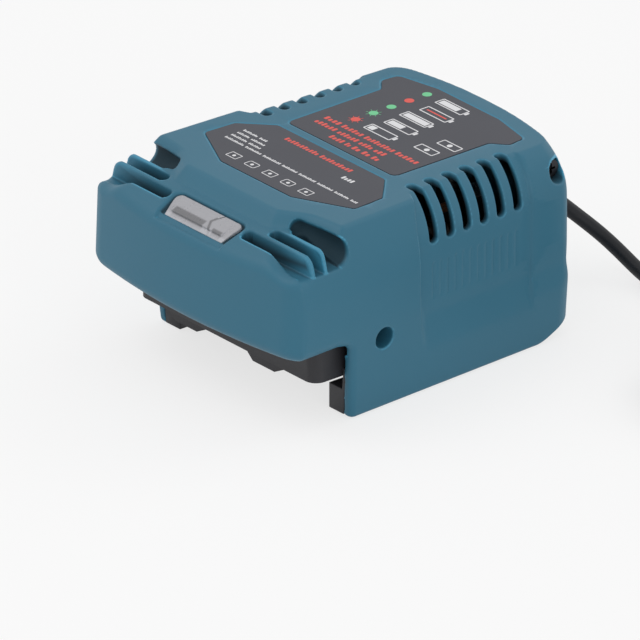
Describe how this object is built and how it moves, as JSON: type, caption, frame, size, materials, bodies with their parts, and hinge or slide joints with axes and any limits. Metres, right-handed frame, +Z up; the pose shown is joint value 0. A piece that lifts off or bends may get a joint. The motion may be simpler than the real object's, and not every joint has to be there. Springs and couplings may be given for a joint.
{
  "type": "power tool battery charger",
  "caption": "Mains charger for slide-on tool battery packs: moulded housing with a bowed nose, vents, louvres, status window, battery tray with rails, cord and plug.",
  "frame": {"origin": "centre of the housing's footprint on the surface that its rim stands on", "axes": "+Z up, -Y towards the nose with the status window, +Y towards the cord, X across"},
  "size_m": [0.2017, 0.1613, 0.062],
  "materials": {
    "housing_plastic": "satin",
    "tray_plastic": "satin",
    "block_plastic": "matt",
    "contact_metal": "satin",
    "window_clear": "clear",
    "red_lens": "gloss",
    "green_lens": "gloss",
    "board_laminate": "satin",
    "label_film": "satin",
    "ferrite": "matt",
    "winding_tape": "satin",
    "capacitor_sleeve": "gloss",
    "choke_wire": "gloss",
    "film_case": "gloss",
    "heatsink_metal": "satin",
    "device_case": "matt",
    "fuse_glass": "clear",
    "screw_steel": "satin",
    "cord_jacket": "satin",
    "lead_insulation": "gloss",
    "plug_plastic": "satin",
    "pin_metal": "polished"
  },
  "bodies": {
    "root": {"top_housing": "housing_plastic", "battery_tray": "tray_plastic", "battery_rails": "tray_plastic", "terminal_block": "block_plastic", "contact_blades": "contact_metal", "led_window": "window_clear", "red_led": "red_lens", "green_led": "green_lens", "led_board": "board_laminate", "front_label": "label_film", "rear_label": "label_film", "circuit_board": "board_laminate", "transformer_core": "ferrite", "transformer_winding": "winding_tape", "bulk_capacitor": "capacitor_sleeve", "output_capacitors": "capacitor_sleeve", "line_choke": "choke_wire", "film_capacitor": "film_case", "switch_heatsink": "heatsink_metal", "switching_transistor": "device_case", "rectifier_heatsink": "heatsink_metal", "output_rectifier": "device_case", "fuse": "fuse_glass", "controller_chip": "device_case", "side_screws": "screw_steel", "rear_screws": "screw_steel", "board_screws": "screw_steel", "cord_clamp": "block_plastic", "clamp_screws": "screw_steel", "inner_cord": "cord_jacket", "cord_leads": "lead_insulation", "strain_relief": "cord_jacket", "mains_cord": "cord_jacket", "cord_coil": "cord_jacket", "plug_lead": "cord_jacket", "plug_body": "plug_plastic", "plug_pins": "pin_metal"}
  },
  "joints": []
}
